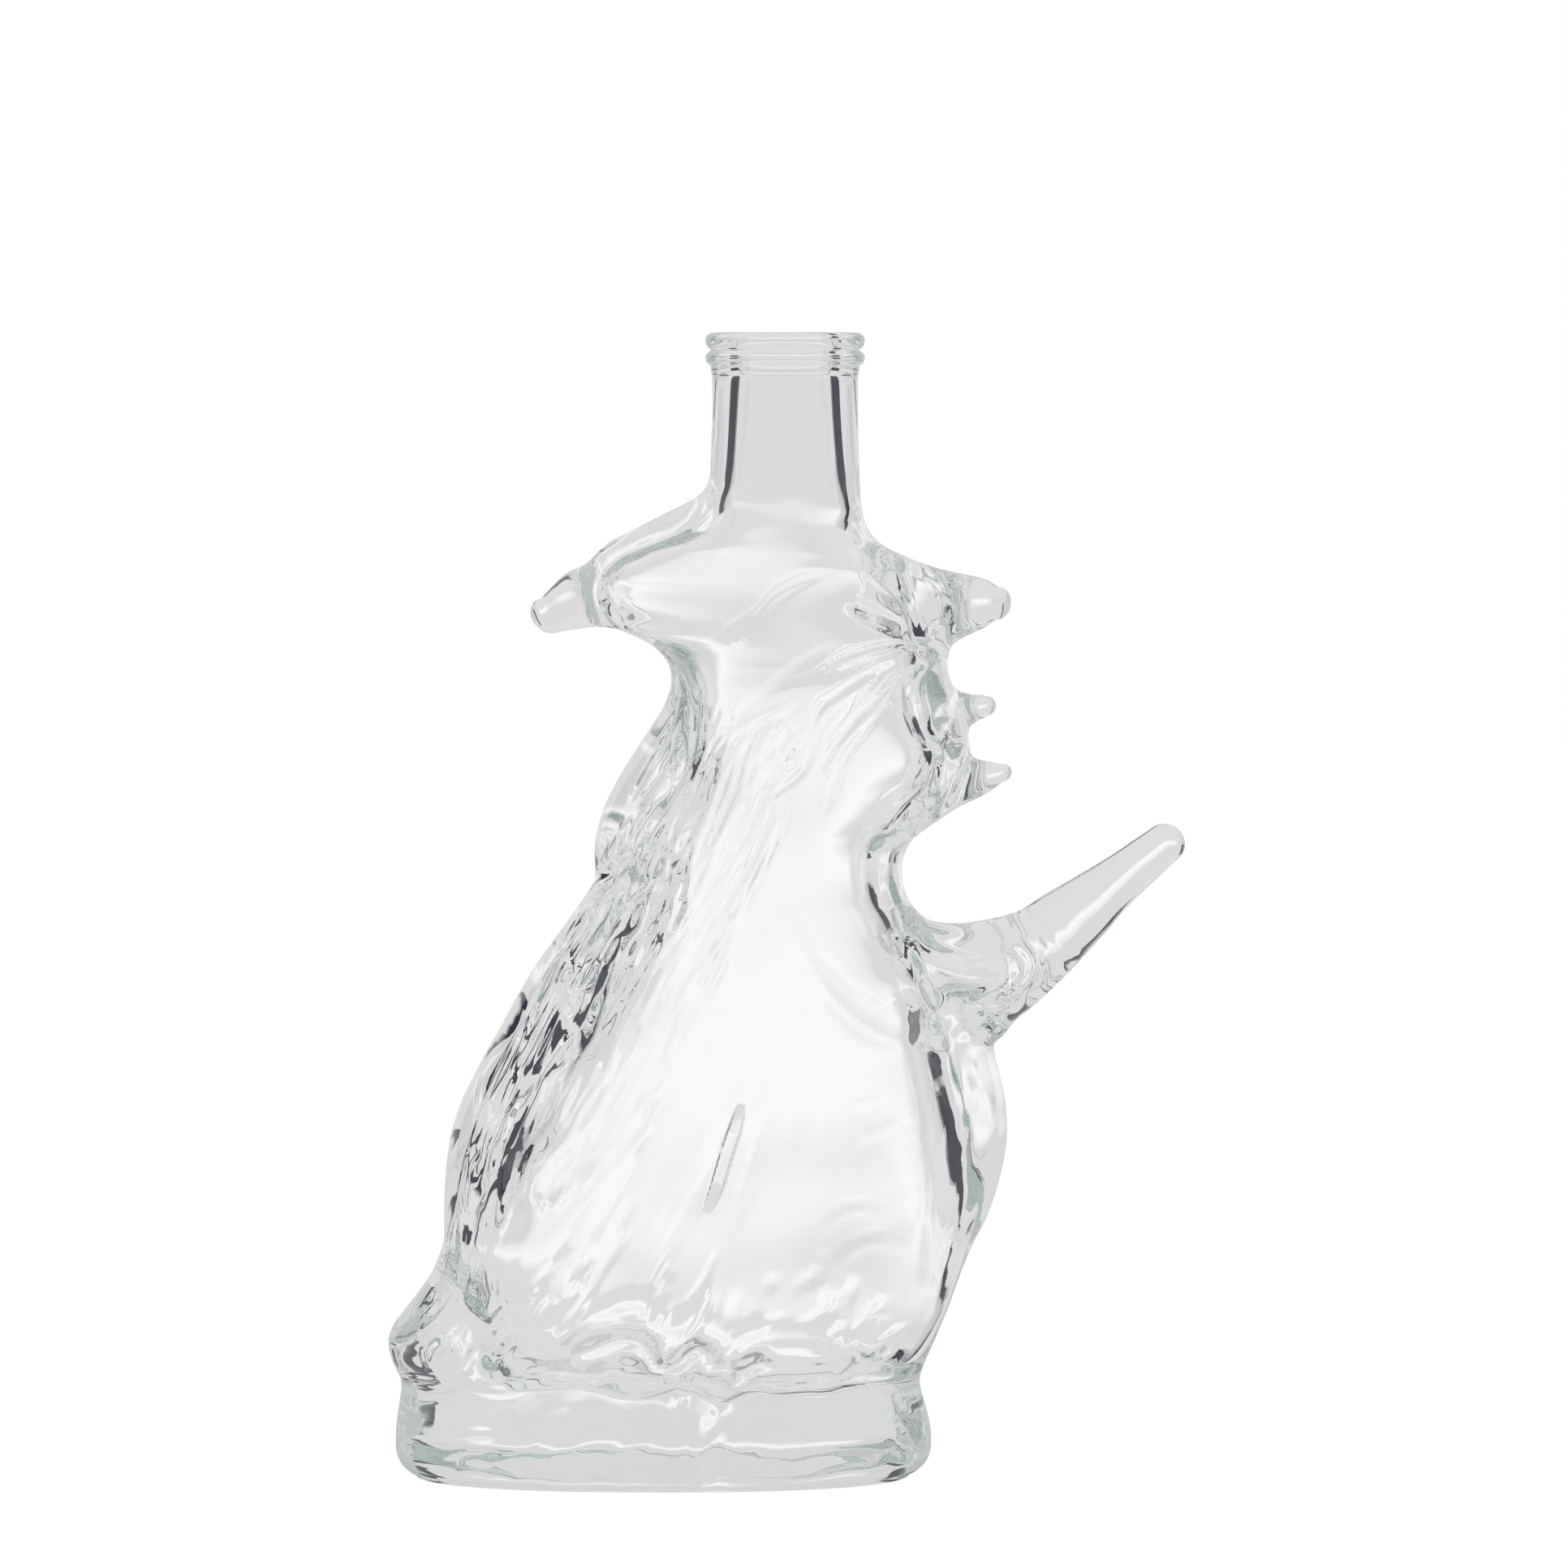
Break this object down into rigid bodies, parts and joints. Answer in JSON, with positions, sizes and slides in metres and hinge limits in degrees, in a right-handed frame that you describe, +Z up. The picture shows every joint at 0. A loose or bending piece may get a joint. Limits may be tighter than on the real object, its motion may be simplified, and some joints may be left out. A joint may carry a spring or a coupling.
{
  "type": "figural glass bottle",
  "caption": "Clear glass bottle in the shape of a folk-tale witch in profile, with hat, long hair, skirt and raised wand, a cork mouth on the hat and a flat standing base.",
  "frame": {"origin": "on the standing plane, under the neck's axis, which is also the middle of the overall length", "axes": "+Z up along the neck's axis, +X towards the figure's front, where the face and wand point, +Y across the mould's parting plane"},
  "size_m": [0.1478, 0.058, 0.2113],
  "materials": {
    "glass": "clear flint glass, fire-polished, with a faint grey-green cast where it is thick"
  },
  "bodies": {
    "root": {"base_slab": "glass", "skirt": "glass", "torso": "glass", "head": "glass", "hat": "glass", "neck": "glass", "mouth_finish": "glass", "hat_back_tip": "glass", "hat_front_tip": "glass", "nose": "glass", "chin": "glass", "arms": "glass", "wand": "glass"}
  },
  "joints": []
}
